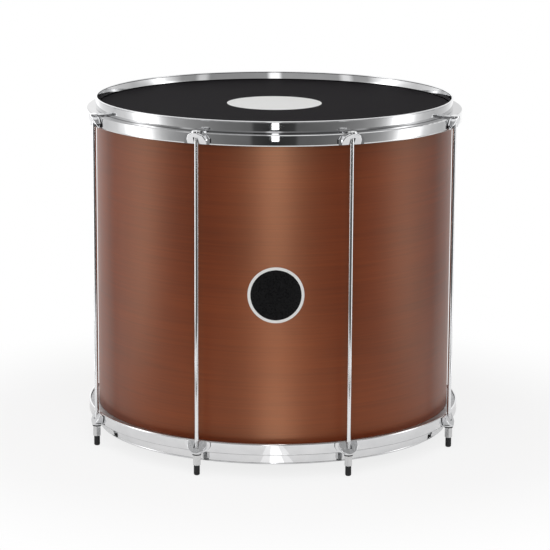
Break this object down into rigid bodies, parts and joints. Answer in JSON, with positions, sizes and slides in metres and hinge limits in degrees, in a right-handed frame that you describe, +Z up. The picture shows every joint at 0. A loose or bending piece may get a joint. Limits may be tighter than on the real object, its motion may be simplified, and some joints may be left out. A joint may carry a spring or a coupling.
{
  "type": "surdo drum",
  "caption": "Large cylindrical bass drum with a stained wooden shell, black skin heads, chromed hoops and full-length tension rods that end in rubber feet.",
  "frame": {"origin": "on the floor plane under the feet, on the drum's axis", "axes": "+Z up along the drum's axis; -Y towards the badge, the drum's front"},
  "size_m": [0.5299, 0.53, 0.4855],
  "materials": {
    "shell_wood": "satin stain with fine level grain",
    "head_skin": "matte black coat",
    "flesh_hoop_metal": "brushed",
    "hoop_chrome": "polished plate",
    "claw_chrome": "polished plate on a casting",
    "rod_chrome": "polished plate",
    "nut_steel": "satin plate",
    "washer_nylon": "moulded",
    "foot_rubber": "smooth moulded",
    "badge_metal": "gloss black with a white rim"
  },
  "bodies": {
    "drum": {"shell": "shell_wood", "badge": "badge_metal", "top_head": "head_skin", "top_flesh_hoop": "flesh_hoop_metal", "top_hoop": "hoop_chrome", "bottom_head": "head_skin", "bottom_flesh_hoop": "flesh_hoop_metal", "bottom_hoop": "hoop_chrome", "rod_1": "rod_chrome", "top_claw_1": "claw_chrome", "bottom_claw_1": "claw_chrome", "cap_1": "foot_rubber", "rod_2": "rod_chrome", "top_claw_2": "claw_chrome", "bottom_claw_2": "claw_chrome", "cap_2": "foot_rubber", "rod_3": "rod_chrome", "top_claw_3": "claw_chrome", "bottom_claw_3": "claw_chrome", "cap_3": "foot_rubber", "rod_4": "rod_chrome", "top_claw_4": "claw_chrome", "bottom_claw_4": "claw_chrome", "cap_4": "foot_rubber", "rod_5": "rod_chrome", "top_claw_5": "claw_chrome", "bottom_claw_5": "claw_chrome", "cap_5": "foot_rubber", "rod_6": "rod_chrome", "top_claw_6": "claw_chrome", "bottom_claw_6": "claw_chrome", "cap_6": "foot_rubber", "rod_7": "rod_chrome", "top_claw_7": "claw_chrome", "bottom_claw_7": "claw_chrome", "cap_7": "foot_rubber", "rod_8": "rod_chrome", "top_claw_8": "claw_chrome", "bottom_claw_8": "claw_chrome", "cap_8": "foot_rubber"},
    "washer_1": {"washer_1": "washer_nylon"},
    "nut_1": {"nut_1": "nut_steel"},
    "washer_2": {"washer_2": "washer_nylon"},
    "nut_2": {"nut_2": "nut_steel"},
    "washer_3": {"washer_3": "washer_nylon"},
    "nut_3": {"nut_3": "nut_steel"},
    "washer_4": {"washer_4": "washer_nylon"},
    "nut_4": {"nut_4": "nut_steel"},
    "washer_5": {"washer_5": "washer_nylon"},
    "nut_5": {"nut_5": "nut_steel"},
    "washer_6": {"washer_6": "washer_nylon"},
    "nut_6": {"nut_6": "nut_steel"},
    "washer_7": {"washer_7": "washer_nylon"},
    "nut_7": {"nut_7": "nut_steel"},
    "washer_8": {"washer_8": "washer_nylon"},
    "nut_8": {"nut_8": "nut_steel"}
  },
  "joints": [
    {"name": "washer_1_drop", "type": "slide", "parent": "drum", "child": "washer_1", "axis": [0, 0, -1], "range_m": [0, 0.001]},
    {"name": "nut_1_turn", "type": "hinge", "parent": "washer_1", "child": "nut_1", "pos_m": [0.10275, -0.24806, 0.0215], "axis": [0, 0, -1], "range_deg": [0, 360]},
    {"name": "washer_2_drop", "type": "slide", "parent": "drum", "child": "washer_2", "axis": [0, 0, -1], "range_m": [0, 0.001]},
    {"name": "nut_2_turn", "type": "hinge", "parent": "washer_2", "child": "nut_2", "pos_m": [0.24806, -0.10275, 0.0215], "axis": [0, 0, -1], "range_deg": [0, 360]},
    {"name": "washer_3_drop", "type": "slide", "parent": "drum", "child": "washer_3", "axis": [0, 0, -1], "range_m": [0, 0.001]},
    {"name": "nut_3_turn", "type": "hinge", "parent": "washer_3", "child": "nut_3", "pos_m": [0.24806, 0.10275, 0.0215], "axis": [0, 0, -1], "range_deg": [0, 360]},
    {"name": "washer_4_drop", "type": "slide", "parent": "drum", "child": "washer_4", "axis": [0, 0, -1], "range_m": [0, 0.001]},
    {"name": "nut_4_turn", "type": "hinge", "parent": "washer_4", "child": "nut_4", "pos_m": [0.10275, 0.24806, 0.0215], "axis": [0, 0, -1], "range_deg": [0, 360]},
    {"name": "washer_5_drop", "type": "slide", "parent": "drum", "child": "washer_5", "axis": [0, 0, -1], "range_m": [0, 0.001]},
    {"name": "nut_5_turn", "type": "hinge", "parent": "washer_5", "child": "nut_5", "pos_m": [-0.10275, 0.24806, 0.0215], "axis": [0, 0, -1], "range_deg": [0, 360]},
    {"name": "washer_6_drop", "type": "slide", "parent": "drum", "child": "washer_6", "axis": [0, 0, -1], "range_m": [0, 0.001]},
    {"name": "nut_6_turn", "type": "hinge", "parent": "washer_6", "child": "nut_6", "pos_m": [-0.24806, 0.10275, 0.0215], "axis": [0, 0, -1], "range_deg": [0, 360]},
    {"name": "washer_7_drop", "type": "slide", "parent": "drum", "child": "washer_7", "axis": [0, 0, -1], "range_m": [0, 0.001]},
    {"name": "nut_7_turn", "type": "hinge", "parent": "washer_7", "child": "nut_7", "pos_m": [-0.24806, -0.10275, 0.0215], "axis": [0, 0, -1], "range_deg": [0, 360]},
    {"name": "washer_8_drop", "type": "slide", "parent": "drum", "child": "washer_8", "axis": [0, 0, -1], "range_m": [0, 0.001]},
    {"name": "nut_8_turn", "type": "hinge", "parent": "washer_8", "child": "nut_8", "pos_m": [-0.10275, -0.24806, 0.0215], "axis": [0, 0, -1], "range_deg": [0, 360]}
  ],
  "couplings": [
    {"joint": "washer_1_drop", "follows": "nut_1_turn", "m_per_rad": 0.00015915},
    {"joint": "washer_2_drop", "follows": "nut_2_turn", "m_per_rad": 0.00015915},
    {"joint": "washer_3_drop", "follows": "nut_3_turn", "m_per_rad": 0.00015915},
    {"joint": "washer_4_drop", "follows": "nut_4_turn", "m_per_rad": 0.00015915},
    {"joint": "washer_5_drop", "follows": "nut_5_turn", "m_per_rad": 0.00015915},
    {"joint": "washer_6_drop", "follows": "nut_6_turn", "m_per_rad": 0.00015915},
    {"joint": "washer_7_drop", "follows": "nut_7_turn", "m_per_rad": 0.00015915},
    {"joint": "washer_8_drop", "follows": "nut_8_turn", "m_per_rad": 0.00015915}
  ]
}
